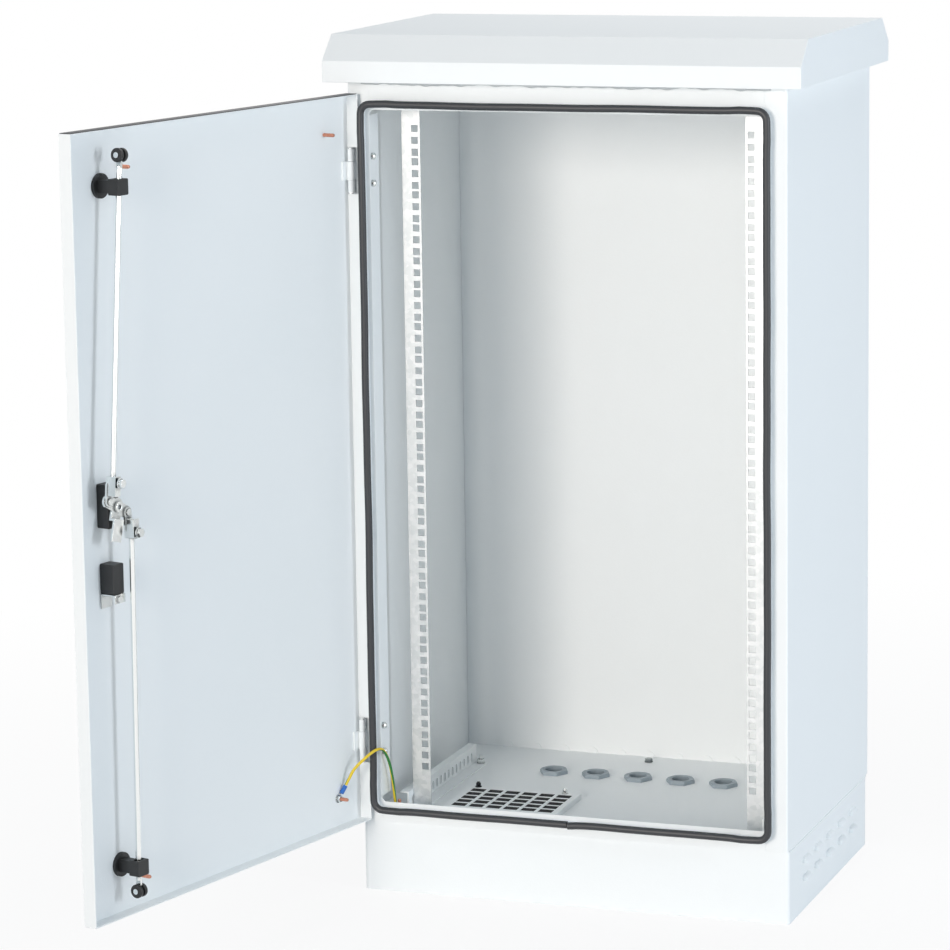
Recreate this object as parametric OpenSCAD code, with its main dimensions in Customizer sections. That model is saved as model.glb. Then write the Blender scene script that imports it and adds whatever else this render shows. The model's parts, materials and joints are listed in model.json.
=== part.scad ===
// Outdoor floor-standing rack cabinet with a hinged front door and a three-point rod latch.
// Millimetres, Z up, origin on the ground under the middle of the plinth, front toward -Y.

/* [Body] */
// Rack height in units of 44.45 mm
rack_units = 20; // [16:1:24]
// Outside width of the body
body_w = 600; // [596:2:660]
// Outside depth from front flange to rear panel
body_d = 430; // [420:10:560]
// Sheet thickness of body and door
sheet = 1.5; // [1.3:0.1:1.7]
// Outside radius of the folded front edges
fold_r = 3; // [2.5:0.5:4]
// Depth of the lip turned back beside the door opening
lip_d = 33; // [28:1:36]

/* [Plinth] */
// Height of the plinth
plinth_h = 100; // [90:5:150]
// Step from the body face to the plinth face, front and rear
plinth_step = 7; // [4:1:10]
// Sheet thickness of the plinth
plinth_t = 2; // [1.5:0.5:3]
// Width of the inward flanges
plinth_flange = 55; // [54:1:65]
// Diameter of the ground anchor holes
anchor_hole = 14; // [10:1:18]
// Louvres in each row
louvre_count = 5; // [3:1:6]
// Outside radius of a pressed louvre
louvre_r = 5; // [4:0.5:6]

/* [Hood] */
// Hood overhang at each side
hood_side = 25; // [15:1:35]
// Hood overhang at the front
hood_front = 26; // [24:1:40]
// Hood overhang at the rear
hood_rear = 6; // [4:1:20]
// Height of the upright hood skirt
hood_skirt = 28; // [20:1:36]
// Height of the sloped part
hood_rise = 33; // [24:1:40]
// Run of the sloped part
hood_run = 36; // [28:1:44]

/* [Door] */
// Depth of the folded door return
door_return = 18.5; // [17.5:0.5:18.5]
// Thickness of the door gasket
gasket_w = 9; // [8:0.5:9]
// Height of each hinge
hinge_h = 58; // [50:2:70]
// Radius of the hinge knuckles
knuckle_r = 4.5; // [4:0.1:4.7]

/* [Latch] */
// Distance of the lock axis from the free door edge
lock_edge = 60; // [56:1:66]
// Radius of the rod pins about the lock axis
pin_r = 20; // [18:1:22]
// Diameter of the latch rods
rod_d = 7; // [6:0.5:8]
// Diameter of the rod rollers
roller_d = 17.4; // [14:0.2:17.4]
// Length of the swing lever
lever_l = 150; // [120:5:165]

/* [Inside] */
// Side of the square rack holes
rack_hole = 9.5; // [9:0.5:9.5]
// Distance of the rails behind the front flange
rail_back = 70; // [66:1:110]
// Cable glands in the row
gland_count = 5; // [3:1:6]
// Spacing of the cable glands
gland_pitch = 62.5; // [52:0.5:70]
// Bore of each cable gland
gland_bore = 25; // [20:1:26]
// Diameter of the earth wire
wire_d = 4; // [3:0.5:4.5]

/* [Hidden] */
$fn = 48;
e = 0.1;
rack_u = 44.45;
z0 = plinth_h;
z1 = z0 + rack_units * rack_u + 131;
front = -body_d / 2;
rear = body_d / 2;
half_w = body_w / 2;
in_w = half_w - sheet;
floor_z = z0 + sheet;
rim_x = half_w - 23.5;
rim_z0 = z0 + 19;
rim_z1 = z1 - 43.5;
rim_r = 13;
rim_out = 13;
open_x = half_w - 30;
open_z0 = z0 + 27;
open_z1 = z1 - 51.5;
open_r = 7;
gasket_y = front - rim_out - 1.7 + (9 - gasket_w) / 2;

hood_z0 = z1 - 14;
hood_z1 = hood_z0 + hood_skirt;
hood_z2 = hood_z1 + hood_rise;
hood_y0 = front - hood_front;
hood_y1 = rear + hood_rear;
hood_x = half_w + hood_side;
fold_a = atan2(hood_run, hood_rise);
spacer_x = half_w - 100;
spacer_y = rear - 70;

door_open = 104;
hinge_x = -half_w + 7.5;
hinge_y = front - 12;
door_x0 = -5.5;
door_w = body_w - 4;
door_z0 = z0 + 3.5;
door_z1 = z1 - 30.5;
rim_end = 9.5;
skin_out = rim_end - door_return;
skin_in = skin_out + sheet;
hinge_low = z0 + 114;
hinge_high = z1 - 131.5;
knuckle_mid = 12.4;
leaf_t = 2.5;
leaf_d = 13;
pin_hole = 2.55;

lock_x = door_x0 + door_w - lock_edge;
lock_z = z0 + 527;
cam_w = 20;
cam_t = 3;
eye_w = cam_w + cam_t + 0.3;
clamp_top = 38;
clamp_z = 24;
rod_w = 30;
pin_angle = 152;
pin_x = pin_r * cos(pin_angle);
pin_z = pin_r * sin(pin_angle);
tongue_angle = 255;
tongue_d = 9;
tongue_l = 43;
tongue_b = 9;
throw = 80;
lever_angle = 270 + throw;
plate_t = 8;
guide_x = 12.5;
guide_up = z1 - 100;
guide_low = z0 + 67;
upper_bias = 1;
lower_bias = -1;
roller_r = roller_d / 2;
upper_roller_z = open_z1 - 1.5 - roller_r;
lower_roller_z = open_z0 + 1.5 + roller_r;
upper_tilt = atan2(guide_x + upper_bias - pin_x, guide_up - lock_z - pin_z);
lower_tilt = atan2(-pin_x - guide_x - lower_bias, lock_z - pin_z - guide_low);
upper_len = (upper_roller_z - lock_z - pin_z) / cos(upper_tilt);
lower_len = (lock_z - pin_z - lower_roller_z) / cos(lower_tilt);
rod_r = rod_d / 2;
axle_r = 2.5;

rail_y = front + rail_back;
rail_gap = 67.45;
rail_col = half_w - rail_gap;
rail_out = rail_col + 18.45;
rail_z0 = floor_z + 2;
rail_z1 = z1 - sheet - 2;
rack_base = z0 + 61.4;
support_h = 27;
support_t = 2;
support_foot = 18;
support_slot = support_h - 15.4;
slot_pitch = 16;
support_y0 = rail_y - 18;
support_y1 = rear - 100;
rail_bolt_y = rail_y + 15;

gland_y = rear - 127;
gland_r = 16;
vent_x = -half_w + 176;
vent_y = front + 122;
vent_w = 162;
vent_d = 116;
vent_h = 8;
vent_pitch = [(vent_w - 12) / 6, (vent_d - 18.5) / 5];
vent_hole = [0.808 * vent_pitch[0], 0.8 * vent_pitch[1]];
bolt_x = half_w - 24;
plinth_bolt_r = 3;
stud_r = 2.5;
stud_x = -half_w + 38;
stud_y = front + 45;
door_stud_out = 111;
door_stud_in = 55;
door_stud_top = door_z1 - 49.5;
door_stud_low = door_z0 + 39.5;

// Earth wire route, each point as a step from the hinge axis, the front flange and the floor line
wire_steps = [[-11, -48.8, 59.6], [-7, -44.6, 69.3], [0, -42, 82], [13, -34, 96], [22, -21, 103.5], [27, -8, 102],
    [29.5, 3, 90], [30.5, 12, 74], [30.5, 20, 54], [30.5, 25.5, 34], [30.5, 28.6, 20], [30.5, 30.7, 14.8]];
wire_route = [for (s = wire_steps) [hinge_x + s[0], front + s[1], z0 + s[2]]];

function spline(a, b, c, d, t) = 0.5 * (2 * b + (c - a) * t + (2 * a - 5 * b + 4 * c - d) * t * t
    + (3 * b - a - 3 * c + d) * t * t * t);
function at(p, i) = p[max(0, min(len(p) - 1, i))];
function smooth(p, n) = concat([for (i = [0 : len(p) - 2]) for (k = [0 : n - 1])
    spline(at(p, i - 1), p[i], p[i + 1], at(p, i + 2), k / n)], [p[len(p) - 1]]);
function unit(v) = v / norm(v);
function heading(p, i) = unit(at(p, i + 1) - at(p, i - 1));
function side(t) = unit(cross(t, [0.36, -0.92, 0.15]));
function ring(p, i, r, n) = let (t = heading(p, i), s = side(t), u = cross(t, s))
    [for (k = [0 : n - 1]) p[i] + r * (cos(360 * k / n) * s + sin(360 * k / n) * u)];

// Plate cut from an XZ outline, from y over thickness t
module xz(y, t) {
    translate([0, y + t, 0]) rotate([90, 0, 0]) linear_extrude(t) children();
}

// Plate in the latch frame, from depth w inward of the door skin
module wplate(w, t) {
    xz(-w - t, t) children();
}

module box(x, y, z) {
    translate([x[0], y[0], z[0]]) cube([x[1] - x[0], y[1] - y[0], z[1] - z[0]]);
}

module rect(x, y) {
    translate([x[0], y[0]]) square([x[1] - x[0], y[1] - y[0]]);
}

module rrect(x, y, r) {
    rect([x[0] + r, x[1] - r], y);
    rect(x, [y[0] + r, y[1] - r]);
    for (a = [x[0] + r, x[1] - r], b = [y[0] + r, y[1] - r]) translate([a, b]) circle(r);
}

module slot(l, r) {
    rect([0, l], [-r, r]);
    circle(r);
    translate([l, 0]) circle(r);
}

module hex(af, h) {
    cylinder(d = af / cos(30), h = h, $fn = 6);
}

module both() {
    children();
    mirror([1, 0, 0]) children();
}

module on_door() {
    translate([hinge_x, hinge_y, 0]) rotate([0, 0, -door_open]) children();
}

// Lock frame: x toward the hinge, z up, y out of the door
module on_latch() {
    on_door() translate([lock_x, skin_in, lock_z]) rotate([0, 0, 180]) children();
}

module on_lever() {
    on_latch() rotate([0, -lever_angle, 0]) children();
}

module on_upper() {
    on_latch() translate([pin_x, 0, pin_z]) rotate([0, upper_tilt, 0]) children();
}

module on_lower() {
    on_latch() translate([-pin_x, 0, -pin_z]) rotate([0, 180 + lower_tilt, 0]) children();
}

// Plan of the plinth and its flanges
module plinth_ring(inset, r) {
    rrect([-half_w + inset, half_w - inset], [front + plinth_step + inset, rear - plinth_step - inset], r);
}

module anchor_spots() {
    for (x = [-1, 1], y = [-1, 1])
        translate([x * (half_w - 24), y * (rear - plinth_step - 24)]) children();
}

module plinth_spots() {
    for (x = [-1, 1]) {
        translate([x * (half_w - 60), front + 30]) children();
        translate([x * bolt_x, rear - 60]) children();
    }
    translate([-14, rear - 30]) children();
}

module louvre_spots() {
    for (i = [0 : louvre_count - 1], z = [0.415, 0.66])
        translate([half_w, (i - (louvre_count - 1) / 2) * 62, plinth_h * z]) children();
}

// Capsule along y, the outline of a pressed louvre
module capsule(r) {
    translate([0, 18, 0]) rotate([90, 0, 0]) cylinder(r = r, h = 36, $fn = 32);
    for (y = [-18, 18]) translate([0, y, 0]) sphere(r, $fn = 32);
}

module louvre() {
    intersection() {
        difference() {
            capsule(louvre_r);
            capsule(louvre_r - 1.2);
        }
        box([0, 9], [-40, 40], [0, 9]);
    }
}

module plinth() {
    color("#d9dcde") {
        difference() {
            union() {
                linear_extrude(plinth_h) difference() {
                    plinth_ring(0, 6);
                    plinth_ring(plinth_t, 4);
                }
                for (z = [0, plinth_h - plinth_t]) translate([0, 0, z]) linear_extrude(plinth_t) difference() {
                    plinth_ring(plinth_t / 2, 5);
                    plinth_ring(plinth_flange, 10);
                }
            }
            both() louvre_spots() intersection() {
                capsule(louvre_r - 1.2);
                box([-9, 9], [-40, 40], [0, 9]);
            }
            anchor_spots() translate([0, 0, -e]) cylinder(d = anchor_hole, h = plinth_t + 2 * e);
            plinth_spots() translate([0, 0, plinth_h - 9]) cylinder(r = plinth_bolt_r + 0.2, h = 10);
        }
        both() louvre_spots() louvre();
    }
}

module plinth_bolts() {
    color("#b9bcbd") plinth_spots() {
        translate([0, 0, floor_z]) cylinder(r = 6, h = 1.2);
        translate([0, 0, floor_z + 1.2]) hex(10, 4);
        translate([0, 0, z0 - 14]) cylinder(r = plinth_bolt_r, h = 14 + sheet + e);
        translate([0, 0, z0 - plinth_t - 5]) hex(10, 5);
    }
}

// Plan of one side panel with its folded stile
module side_plan() {
    rect([-half_w, -in_w], [front + fold_r, rear]);
    rect([-half_w + fold_r, -open_x], [front, front + sheet]);
    intersection() {
        translate([-half_w + fold_r, front + fold_r]) difference() {
            circle(fold_r);
            circle(fold_r - sheet);
        }
        rect([-half_w, -half_w + fold_r], [front, front + fold_r]);
    }
}

module side_panel() {
    translate([0, 0, z0]) linear_extrude(z1 - z0) side_plan();
}

// Lip turned back from the stile beside the opening
module stile_lip() {
    box([-open_x - sheet, -open_x], [front + sheet, front + lip_d], [open_z0 + open_r, open_z1 - open_r]);
}

module hinge_spots() {
    for (z = [hinge_low, hinge_high]) translate([hinge_x, hinge_y, z]) children();
}

module hinge_screw_spots() {
    hinge_spots() for (z = [-18, 18]) translate([-open_x - hinge_x, front + 7.5 - hinge_y, z]) rotate([0, 90, 0])
        children();
}

module side_panel_left() {
    color("#e3e6e8") difference() {
        side_panel();
        hinge_spots() for (z = [-1, 1]) translate([0, 0, z * (knuckle_mid + hinge_h / 2) / 2])
            cube([4.5, 30, hinge_h / 2 - knuckle_mid + 2], center = true);
    }
}

module stile_lips() {
    tongue_y = hinge_y + skin_in + cam_w + tongue_d;
    color("#e3e6e8") {
        difference() {
            stile_lip();
            hinge_screw_spots() translate([0, 0, -9]) cylinder(r = 2.6, h = 12);
        }
        difference() {
            mirror([1, 0, 0]) stile_lip();
            box([open_x - 2, open_x + 4], [tongue_y - cam_t - 1.5, tongue_y + 1.5], [lock_z - tongue_l + 7, lock_z + tongue_b + 6]);
        }
    }
}

module side_panel_right() {
    color("#e3e6e8") mirror([1, 0, 0]) side_panel();
}

module rear_panel() {
    color("#e1e4e6") box([-in_w, in_w], [rear - sheet, rear], [z0, z1]);
}

// Plan shared by floor and roof, clear of the stile folds
module plate_plan() {
    rect([-in_w, in_w], [front + fold_r, rear - sheet]);
    rect([-open_x, open_x], [front + sheet, front + fold_r + e]);
}

module roof_panel() {
    color("#e1e4e6") translate([0, 0, z1 - sheet]) linear_extrude(sheet) difference() {
        plate_plan();
        spacer_spots() circle(4.3);
    }
}

module gland_spots() {
    for (i = [0 : gland_count - 1]) translate([(i - (gland_count - 1) / 2) * gland_pitch, gland_y]) children();
}

module floor_panel() {
    color("#e1e4e6") {
        translate([0, 0, z0]) linear_extrude(sheet) difference() {
            plate_plan();
            gland_spots() circle(gland_r + 0.3);
            plinth_spots() circle(plinth_bolt_r + 0.2);
            translate([vent_x, vent_y])
                rrect([11 - vent_w / 2, vent_w / 2 - 11], [11 - vent_d / 2, vent_d / 2 - 17], 4);
        }
        for (x = [-5.5 : 5.5]) translate([x * 43, 0, floor_z - e]) xz(rear - 2 * sheet, sheet) {
            rect([-7.5, 7.5], [0, 3]);
            intersection() {
                translate([0, 0.5]) circle(7.9);
                rect([-7.5, 7.5], [0, 9]);
            }
        }
    }
}

// Front plate between the stiles, cut by the rounded opening
module front_plate(za, zb) {
    xz(front, sheet) difference() {
        rect([-open_x, open_x], [za, zb]);
        rrect([-open_x, open_x], [open_z0, open_z1], open_r);
    }
}

module front_header() {
    color("#e3e6e8") front_plate(open_z1 - open_r + 2, z1);
}

module front_sill() {
    color("#e3e6e8") front_plate(z0, open_z0 + open_r - 2);
}

module rim_band(a, r) {
    rrect([-rim_x - a, rim_x + a], [rim_z0 - a, rim_z1 + a], r + a);
}

module seal_rim() {
    color("#dfe2e4") xz(front - rim_out, rim_out) difference() {
        rim_band(sheet / 2, rim_r);
        rim_band(-sheet / 2, rim_r);
    }
}

// Round bulb swept along the rim
module bulb(r) {
    for (z = [rim_z0, rim_z1]) translate([-rim_x + rim_r, gasket_y, z]) rotate([0, 90, 0])
        cylinder(r = r, h = 2 * (rim_x - rim_r));
    for (x = [-rim_x, rim_x]) translate([x, gasket_y, rim_z0 + rim_r])
        cylinder(r = r, h = rim_z1 - rim_z0 - 2 * rim_r);
    for (c = [[1, rim_z1 - rim_r, 0], [-1, rim_z1 - rim_r, 90], [-1, rim_z0 + rim_r, 180], [1, rim_z0 + rim_r, 270]])
        translate([c[0] * (rim_x - rim_r), gasket_y, c[1]]) rotate([90, 0, 0]) rotate([0, 0, c[2]])
            rotate_extrude(angle = 90) translate([rim_r, 0]) circle(r);
}

module door_gasket() {
    color("#2b2c2e") difference() {
        bulb(gasket_w / 2);
        xz(front - rim_out, rim_out) difference() {
            rim_band(sheet / 2, rim_r);
            rim_band(-sheet / 2, rim_r);
        }
        box([-0.4, 0.4], [front - 30, front], [rim_z0 - 9, rim_z0 + 9]);
    }
}

// Section of the hood, drawn inward by t
module hood_section(t, zb) {
    polygon([[hood_y0 + t, zb], [hood_y0 + t, hood_z1 - t * tan(fold_a / 2)],
        [hood_y0 + hood_run + t * tan((90 - fold_a) / 2), hood_z2 - t],
        [hood_y1 - hood_run - t * tan((90 - fold_a) / 2), hood_z2 - t],
        [hood_y1 - t, hood_z1 - t * tan(fold_a / 2)], [hood_y1 - t, zb]]);
}

module hood_bar(t, zb) {
    translate([-hood_x + t, 0, 0]) rotate([90, 0, 90]) linear_extrude(2 * (hood_x - t)) hood_section(t, zb);
}

module roof_hood() {
    color("#eceeef") difference() {
        hood_bar(0, hood_z0);
        hood_bar(sheet, hood_z0 + sheet);
        box([-half_w - 0.3, half_w + 0.3], [front - 0.3, rear + 0.3], [hood_z0 - e, hood_z0 + sheet + e]);
    }
}

module hood_sealant() {
    color("#aeb2b4") intersection() {
        translate([-half_w + 20, front, hood_z0]) rotate([0, 90, 0]) cylinder(r = 4, h = body_w - 40);
        box([-half_w, half_w], [front - 9, front], [hood_z0 - 9, hood_z0]);
    }
}

module spacer_spots() {
    for (x = [-1, 1], y = [-1, 1]) translate([x * spacer_x, y * spacer_y]) children();
}

module hood_spacers() {
    color("#b4b8ba") spacer_spots() translate([0, 0, z1]) difference() {
        cylinder(r = 9, h = hood_z2 - sheet - z1);
        translate([0, 0, -e]) cylinder(r = 4.05, h = 26);
    }
}

module hood_bolts() {
    color("#b4b8ba") spacer_spots() {
        translate([0, 0, z1 - sheet - 5.3]) hex(13, 5.3);
        translate([0, 0, z1 - sheet - e]) cylinder(r = 4, h = 24);
    }
}

// Bolt axes that join rail and support, pointing inward
module rail_bolt_spots() {
    both() for (z = [floor_z + support_slot, z1 - sheet - support_slot])
        translate([-rail_out + 2, rail_bolt_y, z]) rotate([0, 90, 0]) children();
}

// Studs that hold the support feet to floor and roof
module foot_spots() {
    both() translate([-rail_out + support_foot - 8, support_y1 - 9, floor_z]) children();
    both() translate([-rail_out + support_foot - 8, support_y1 - 9, z1 - sheet]) mirror([0, 0, 1]) children();
}

module rack_rail() {
    difference() {
        box([-rail_out, -rail_out + 26], [rail_y, rail_y + 2], [rail_z0, rail_z1]);
        for (u = [0 : rack_units - 1], h = [0, 15.875, 31.75])
            translate([-rail_col - rack_hole / 2, rail_y - e, rack_base + u * rack_u + h - rack_hole / 2])
                cube([rack_hole, 2 + 2 * e, rack_hole]);
    }
}

// Webs folded back from the rails, bolted to the supports
module rail_webs() {
    color("#b7bbbd") difference() {
        both() box([-rail_out, -rail_out + 2], [rail_y + 2, rail_y + 30], [rail_z0, rail_z1]);
        rail_bolt_spots() translate([0, 0, -3]) cylinder(r = 3.2, h = 6);
    }
}

module rack_rail_left() {
    color("#b7bbbd") rack_rail();
}

module rack_rail_right() {
    color("#b7bbbd") mirror([1, 0, 0]) rack_rail();
}

// Slotted support: upright web, top flange toward the wall, foot toward the middle
module support_rail() {
    difference() {
        translate([-rail_out, support_y1, 0]) rotate([90, 0, 0]) linear_extrude(support_y1 - support_y0) {
            rect([-support_t, 0], [0, support_h]);
            rect([-12, 0], [support_h - support_t, support_h]);
            rect([-support_t, support_foot], [0, sheet]);
        }
        for (y = [rail_bolt_y - slot_pitch : slot_pitch : support_y1 - 6])
            translate([-rail_out - 4, y, support_slot - 3]) rotate([90, 0, 90]) linear_extrude(6) rotate(90) slot(6, 3.6);
        translate([-rail_out + support_foot - 8, support_y1 - 9, -e]) cylinder(r = 3.2, h = 6);
    }
}

module supports_low() {
    color("#dfe2e4") both() translate([0, 0, floor_z]) support_rail();
}

module supports_top() {
    color("#dfe2e4") both() translate([0, 0, z1 - sheet]) mirror([0, 0, 1]) support_rail();
}

module rail_bolts() {
    color("#b4b8ba") {
        rail_bolt_spots() {
            hex(10, 4);
            translate([0, 0, -11]) cylinder(r = 3, h = 11 + e);
            translate([0, 0, -2 - support_t - 5]) hex(10, 5);
        }
        foot_spots() {
            cylinder(r = 3, h = 13);
            translate([0, 0, sheet]) cylinder(r = 6, h = 1.2);
            translate([0, 0, sheet + 1.2]) hex(10, 5);
        }
    }
}

module vent_grille() {
    color("#e6e8ea") translate([vent_x, vent_y, floor_z]) difference() {
        linear_extrude(vent_h) rrect([-vent_w / 2, vent_w / 2], [-vent_d / 2, vent_d / 2], 3);
        translate([0, 0, -e]) linear_extrude(vent_h - sheet + e)
            rrect([sheet - vent_w / 2, vent_w / 2 - sheet], [sheet - vent_d / 2, vent_d / 2 - sheet], 1.5);
        vent_spots() translate([0, 0, vent_h - sheet / 2]) cube([vent_hole[0], vent_hole[1], 9], center = true);
        grille_nut_spots() cylinder(r = 2.2, h = 20);
    }
}

module vent_spots() {
    for (i = [-2.5 : 2.5], j = [-2 : 2]) translate([i * vent_pitch[0], j * vent_pitch[1] - 5, 0]) children();
}

module grille_nut_spots() {
    for (x = [-68, 59]) translate([x, vent_d / 2 - 8, 0]) children();
}

// Foam mat pressed up into the grille openings
module filter_mat() {
    color("#1f2021") translate([vent_x, vent_y, floor_z]) {
        linear_extrude(vent_h - sheet) rrect([5 - vent_w / 2, vent_w / 2 - 5], [5 - vent_d / 2, vent_d / 2 - 13], 3);
        vent_spots() translate([0, 0, (vent_h - 0.3) / 2])
            cube([vent_hole[0] - 0.6, vent_hole[1] - 0.6, vent_h - 0.3], center = true);
    }
}

module grille_nuts() {
    color("#9a9ea0") translate([vent_x, vent_y, floor_z]) grille_nut_spots() {
        cylinder(r = 2, h = vent_h + 7.5);
        translate([0, 0, vent_h]) cylinder(r = 4.8, h = 1.2);
        translate([0, 0, vent_h + 1.2]) cylinder(r = 3.5, h = 4.6);
    }
}

module cable_glands() {
    color("#c9ccce") gland_spots() difference() {
        union() {
            translate([0, 0, z0 - 8]) hex(2 * gland_r + 6, 8);
            translate([0, 0, z0 - 8 - e]) cylinder(r = gland_r, h = 8 + sheet + 5.7);
            translate([0, 0, z0 - 14]) cylinder(r = gland_r - 1, h = 7);
            translate([0, 0, z0 - 32]) hex(2 * gland_r + 4, 18 + e);
            translate([0, 0, z0 - 38]) cylinder(r1 = gland_r - 2, r2 = gland_r + 1, h = 6 + e);
        }
        translate([0, 0, z0 - 40]) cylinder(d = gland_bore, h = 60);
    }
}

module gland_locknuts() {
    color("#b6b9bb") gland_spots() translate([0, 0, floor_z]) difference() {
        intersection() {
            hex(2 * gland_r + 4, 6);
            translate([0, 0, -14]) cylinder(r1 = 38, r2 = 18.4, h = 20.2);
        }
        translate([0, 0, -e]) cylinder(r = gland_r + 0.05, h = 9);
    }
}

// Plan of the fixed hinge leaf behind the stile
module leaf_plan() {
    y = front - hinge_y + sheet;
    lip = -open_x - sheet - hinge_x;
    rect([-leaf_t / 2, lip], [y, y + leaf_t]);
    rect([lip - leaf_t, lip], [y, front + leaf_d - hinge_y]);
}

module hinge_frame_leaves() {
    color("#cfd2d3") difference() {
        hinge_spots() {
            translate([0, 0, -hinge_h / 2]) linear_extrude(hinge_h) leaf_plan();
            for (z = [-1, 1]) translate([0, 0, z * (knuckle_mid + 0.3 + hinge_h / 2) / 2]) difference() {
                union() {
                    cylinder(r = knuckle_r - 0.7, h = hinge_h / 2 - knuckle_mid - 0.3, center = true);
                    translate([0, 8, 0])
                        cube([leaf_t, 16, hinge_h / 2 - knuckle_mid - 0.3], center = true);
                }
                cylinder(r = pin_hole, h = hinge_h, center = true);
            }
        }
        hinge_screw_spots() translate([0, 0, -9]) cylinder(r = 2.6, h = 12);
    }
}

module hinge_pins() {
    color("#c4c7c9") hinge_spots() {
        cylinder(r = axle_r, h = hinge_h + 1, center = true);
        for (z = [-1, 1]) translate([0, 0, z * (hinge_h / 2 + 0.7)]) cylinder(r = 3.4, h = 1.4, center = true);
    }
}

module hinge_screws() {
    color("#b9bdbf") hinge_screw_spots() {
        cylinder(r = 4.4, h = 3.4);
        intersection() {
            translate([0, 0, 1.2]) sphere(5, $fn = 40);
            translate([0, 0, 3.3]) cylinder(r = 9, h = 9);
        }
        translate([0, 0, -sheet - leaf_t - 3]) cylinder(r = 2.5, h = sheet + leaf_t + 3 + e);
    }
}

module hinge_door_leaves() {
    color("#d6d9da") on_door() for (z = [hinge_low, hinge_high]) translate([0, 0, z]) difference() {
        union() {
            cylinder(r = knuckle_r, h = 2 * knuckle_mid, center = true);
            translate([-leaf_t / 2, skin_in, -knuckle_mid]) cube([leaf_t, -skin_in, 2 * knuckle_mid]);
            translate([-leaf_t / 2, skin_in, -knuckle_mid]) cube([12, leaf_t, 2 * knuckle_mid]);
        }
        cylinder(r = pin_hole, h = hinge_h, center = true);
    }
}

module earth_stud() {
    color("#c8893f") translate([stud_x, stud_y, floor_z]) {
        cylinder(r = stud_r, h = 18);
        difference() {
            translate([0, 0, 1.2]) hex(8, 4.5);
            cylinder(r = stud_r, h = 9);
        }
    }
}

// Ring lug in its own frame: ring on z = 0, barrel along +x
module lug(up) {
    difference() {
        union() {
            cylinder(r = 6, h = 1.2);
            box([0, 11.5], [-2.5, 2.5], [0, 1.2]);
        }
        translate([0, 0, -e]) cylinder(r = stud_r + 0.05, h = 9);
    }
    translate([9, 0, 3.4]) rotate([0, 90 - up, 0]) translate([0, 0, -1.4]) cylinder(r = 3, h = 12);
}

module earth_lug_floor() {
    color("#2f5fa8") translate([stud_x, stud_y, floor_z]) rotate([0, 0, -90]) lug(62);
}

module on_door_stud() {
    on_door() translate([door_x0 + door_stud_in, skin_in, door_stud_low]) rotate([-90, 0, 0]) children();
}

module earth_lug_door() {
    color("#2f5fa8") on_door_stud() rotate([0, 0, -124]) lug(12);
}

module earth_nut_door() {
    color("#c8893f") on_door_stud() translate([0, 0, 1.2]) difference() {
        hex(8, 4.5);
        translate([0, 0, -e]) cylinder(r = stud_r + 0.05, h = 9);
    }
}

module earth_wire() {
    p = smooth(wire_route, 5);
    n = 10;
    m = len(p);
    faces = concat([[for (k = [0 : n - 1]) n - 1 - k]],
        [for (i = [0 : m - 2]) for (k = [0 : n - 1]) let (q = (k + 1) % n)
            [i * n + k, i * n + q, (i + 1) * n + q, (i + 1) * n + k]],
        [[for (k = [0 : n - 1]) (m - 1) * n + k]]);
    color("#c9c93a") polyhedron([for (i = [0 : m - 1]) each ring(p, i, wire_d / 2, n)], faces);
}

module door_panel() {
    color("#e8ebed") on_door() difference() {
        box([door_x0, door_x0 + door_w], [skin_out, rim_end], [door_z0, door_z1]);
        box([door_x0 + sheet, door_x0 + door_w - sheet], [skin_in, rim_end + e],
            [door_z0 + sheet, door_z1 - sheet]);
        for (z = [hinge_low, hinge_high])
            box([door_x0 - e, door_x0 + sheet + e], [skin_in, rim_end + e], [z - hinge_h / 2 - 2, z + hinge_h / 2 + 2]);
        translate([lock_x, 0, lock_z]) rotate([90, 0, 0]) cylinder(r = 9, h = 20);
        translate([lock_x, 0, lock_z - 91]) rotate([90, 0, 0]) cylinder(r = 9.5, h = 20);
    }
}

module door_studs() {
    color("#c8893f") on_door()
        for (x = [door_x0 + door_stud_in, door_x0 + door_w - door_stud_out], z = [door_stud_low, door_stud_top])
            translate([x, skin_in, z]) rotate([-90, 0, 0]) cylinder(r = stud_r, h = 17);
}

module lock_housing() {
    color("#232425") on_latch() difference() {
        wplate(0, 18) rrect([-12, 9], [-27, 28], 2);
        wplate(-e, 20) circle(5.05);
    }
}

module catch_block() {
    color("#232425") on_latch() difference() {
        wplate(0, 21) rrect([-10, 11], [-110, -72], 2);
        translate([0, 0, -91]) wplate(-e, 11) circle(8.55);
    }
}

module catch_bracket() {
    color("#c7cacc") on_latch() {
        wplate(0, sheet) rect([-10, 11], [-129, -110]);
        wplate(0, 22.5) rect([-10, 11], [-111.5, -110]);
        wplate(21, sheet) rect([-10, 11], [-121, -110]);
        translate([-2, 0, -115.5]) wplate(22.5, 3.2) circle(4);
    }
}

module handle_plate() {
    color("#232425") on_latch() difference() {
        translate([0, 0, -147]) xz(sheet, plate_t) rotate([0, 0, 90]) slot(165, 18);
        xz(0, 20) circle(5.05);
        translate([0, 0, -91]) xz(0, 20) circle(8.55);
    }
}

module lock_cylinder() {
    color("#c4c7c9") on_latch() translate([0, 0, -91]) difference() {
        xz(-10, 10 + sheet + plate_t) circle(8.5);
        xz(-6, 30) circle(5.05);
    }
}

module lock_plug() {
    color("#b08d4a") on_latch() translate([0, 0, -91]) difference() {
        xz(-5.9, 5.9 + sheet + plate_t) circle(5);
        xz(sheet + plate_t - 4, 9) rect([-0.7, 0.7], [-3.5, 3.5]);
    }
}

// Plastic guide with an oblong eye that lets the rod lean as the cam turns
module rod_guide() {
    wplate(0, 4) circle(15.5);
    wplate(3.9, 20) rect([-7, 7], [-8, 8]);
    difference() {
        wplate(22, 15) rrect([-10.5, 10.5], [-10, 10], 2);
        translate([-4, -rod_w, -20]) linear_extrude(40) slot(8, rod_r + 0.5);
    }
}

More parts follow.
